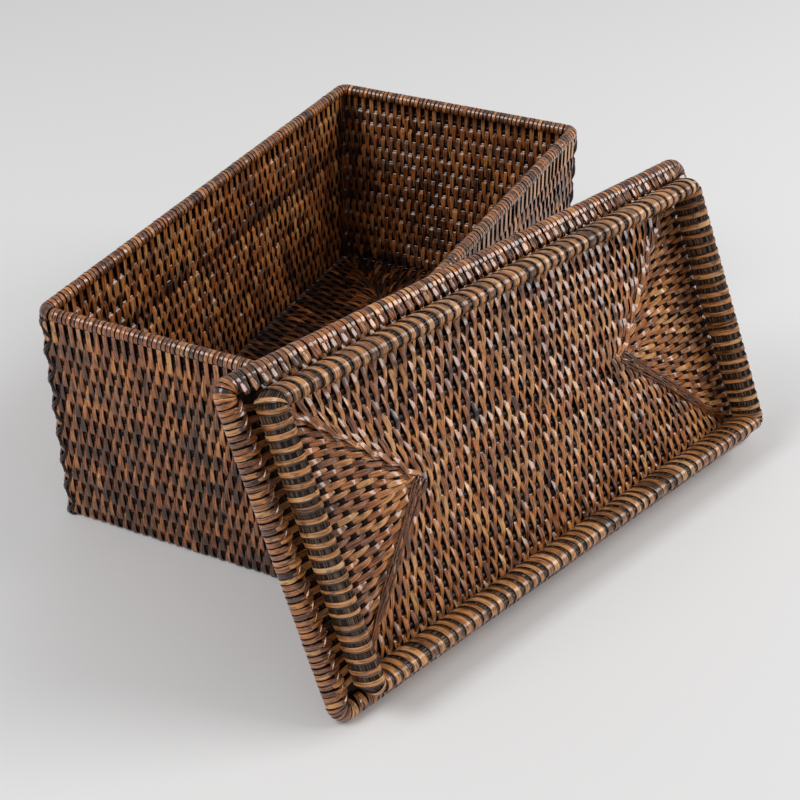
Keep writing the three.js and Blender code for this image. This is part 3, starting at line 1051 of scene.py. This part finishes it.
def mitres():
    """Long flat leaves shingled along the panel's four mitres, and round strands along the lower two."""
    draws = seeded("mitres")
    leaves = [mitre_leaf(side_u, side_v, front, number, out, draws)
              for side_u in (1, -1) for side_v in (1, -1) for front in (1, -1)
              for number, out in enumerate(leaf_starts)]
    swept("lid_mitre_leaves", leaves, glossy_cane, "lid", "lid_panel_strips")
    lines = np.array([mitre_strand(side_u, beside) for side_u in (1, -1) for beside in mitre_strand_places])
    across = unit(np.cross(lid_face, unit(np.gradient(lines, axis=1))))
    turn = turns(8)
    rings = rings_round(lines, across, mitre_strand_radius * np.cos(turn),
                        lid_face, mitre_strand_radius * np.sin(turn))
    part = rings, 0.3, lengths(lines), turn * mm
    swept("lid_mitre_strands", [part], glossy_cane, "lid", "lid_panel_strips")


mitres()

# The lip inside the lid
lip_low, lip_high = lid_reach("lid_lip_binding")
lip_half_height = (lip_high[2] - lip_low[2]) / 2
lip_middle = lid_middle + lid_face * (lip_high[2] + lip_low[2]) / 2
lip_loop = Loop(lip_high[0] - lip_half_width, lip_high[1] - lip_half_width, lip_bend, lid_axes, lip_middle,
                lip_half_width, "lid")
lip_strand_count = 40
lip_strand_points = 4
lip_strand_depth = 0.3 * mm
lip_core_steps = 420
lip_core_inset = 0.6 * mm
lip_band_inset = 0.35 * mm
lip_long_side = (6.0 * mm, 1.85 * mm, 0.4 * mm, 0.48)  # pitch, half width, looseness and tint of the bands
lip_short_side = (5.8 * mm, 1.3 * mm, 0.2 * mm, 0.53)
lip_corner_places = np.array([-0.2, 0.5, 1.2])
lip_corner_tilts = np.array([1.8, 2.6, -1.5])
lip_corner_half_width = 1.35 * mm
# Half the width of the dark strip beside each band, which is painted shadow for the gap at the band's edge
lip_edge_shade_half_width = 0.35 * mm


def lip_core():
    """A bundle of fine strands, fluted where they lie side by side."""
    points = lip_strand_count * lip_strand_points
    section = oval(lip_half_width - lip_core_inset, lip_half_height - lip_core_inset, turns(points))
    ripple = np.abs(np.sin(np.arange(points) / lip_strand_points * math.pi))
    flutes = lip_strand_depth * (1 - ripple) / np.linalg.norm(section, axis=1)
    out_reach, up_reach = (section * (1 - flutes[:, None])).T
    around = np.linspace(0, loop_length(lip_loop), lip_core_steps) + lip_loop.half_length
    line, outward, squareness = round_loop(lip_loop, around)
    beyond = -lip_bend + (out_reach + lip_bend) / squareness[:, None]
    inward = np.where(out_reach < -lip_bend, beyond, out_reach)
    rings = rings_round(line[None], outward, inward[None], lid_face, up_reach)
    part = rings, 0.5, lengths(line[None]), np.arange(points) / points * 50 * mm
    swept("lid_lip_strands", [part], lip_strands, "lid", "lid_lip_core", slot="dark_rods")


def lip_bands():
    """Bands of pale cane wound round the lip with gaps between them, each with a dark strip at one edge,
    which is painted shadow for the gap there.
    """
    draws = seeded("lid lip")
    distances, tilts, halves, tones = [], [], [], []
    for (start, straight), side in zip(loop_sides(lip_loop), (lip_long_side, lip_short_side) * 2):
        pitch, half_band, loose, tone = side
        count = int((straight - 4 * mm) / pitch)
        place = straight / 2 + (np.arange(count) - (count - 1) / 2) * pitch
        distances += [start + place + draws.normal(0, loose, count),
                      start + straight + lip_corner_places * corner_arc(lip_loop)]
        halves += [half_band * draws.normal(1, 0.16, count), np.full(3, lip_corner_half_width)]
        tilts += [np.full(count, 1.3), lip_corner_tilts]
        tones.append(np.full(count + 3, tone))
    distance = np.concatenate(distances)
    half, tilt, tone = [np.concatenate(values)[:, None] for values in (halves, tilts, tones)]
    each = half.shape
    steps = 40
    turn = np.radians(np.linspace(-70, 250, steps))
    profile = oval(lip_half_width - lip_band_inset, lip_half_height - lip_band_inset, turn)
    lean = np.linspace(1, -1, steps) * (tilt + draws.normal(0, 0.35, each)) * mm
    tint = tone + draws.normal(0, 0.17, each)
    edge_shade_lean = lean + half + 0.3 * mm
    bands = wound("lid_lip_bands", lip_loop, profile, distance, half, tint, lean)
    # Dark strips of tint 0 beside the bands: painted shadow in the gaps at their edges
    edges = wound("lid_lip_edges", lip_loop, profile, distance, lip_edge_shade_half_width, 0.0, edge_shade_lean)
    swept("lid_lip_bands", [bands, edges], pale_cane, "lid", "lid_lip_binding", slot="pale_cane")


lip_core()
lip_bands()


# Camera
def camera():
    data = bpy.data.cameras.new("camera")
    data.lens = camera_lens
    data.sensor_width = camera_sensor
    data.clip_start = 0.01
    made = linked("camera", data)
    turns_about = ((camera_azimuth, "Z"), (math.pi / 2 - camera_elevation, "X"), (camera_roll, "Z"))
    made.matrix_world = Matrix.Translation(camera_place)
    for angle, axis in turns_about:
        made.matrix_world = made.matrix_world @ Matrix.Rotation(angle, 4, axis)
    bpy.context.scene.camera = made


camera()

# Floor, backdrop and light
stage_reach = 4.0
paint_scales = (1.5, 1.5, 1.5)
paint_colours = ((0.79, 0.785, 0.78), (0.81, 0.808, 0.805))
lamp_target = Vector((0, 0, 0.05))
room_colour = (0.98, 0.985, 1.0, 1)
room_strength = 0.4


def stage_floor():
    mesh = bpy.data.meshes.new("floor")
    corners = [(x * stage_reach, y * stage_reach, 0) for x, y in ((-1, -1), (1, -1), (1, 1), (-1, 1))]
    mesh.from_pydata(corners, [], [(0, 1, 2, 3)])
    made = linked("floor", mesh)
    material, tree, shader = principled("floor_paint", 0.75, 0.0, 0.5, 0.2)
    colour = blended(tree, object_noise(tree, paint_scales, 2.0), *paint_colours)
    tree.links.new(colour, shader.inputs["Base Color"])
    mesh.materials.append(material)


def lamp(name, place, wide, tall, power):
    data = bpy.data.lights.new(name, "AREA")
    data.shape = "RECTANGLE"
    data.size = wide
    data.size_y = tall
    data.energy = power
    made = linked(name, data)
    made.location = place
    made.rotation_euler = (lamp_target - Vector(place)).to_track_quat("-Z", "Y").to_euler()


stage_floor()
lamp("softbox_left", (-1.21, 0.77, 1.67), 1.0, 1.0, 18.5)
lamp("softbox_right", (0.88, -1.45, 1.41), 1.05, 1.25, 25)
world = bpy.data.worlds.new("room")
bpy.context.scene.world = world
world.use_nodes = True
background = world.node_tree.nodes["Background"]
background.inputs["Color"].default_value = room_colour
background.inputs["Strength"].default_value = room_strength
bpy.context.scene.view_settings.view_transform = "Standard"
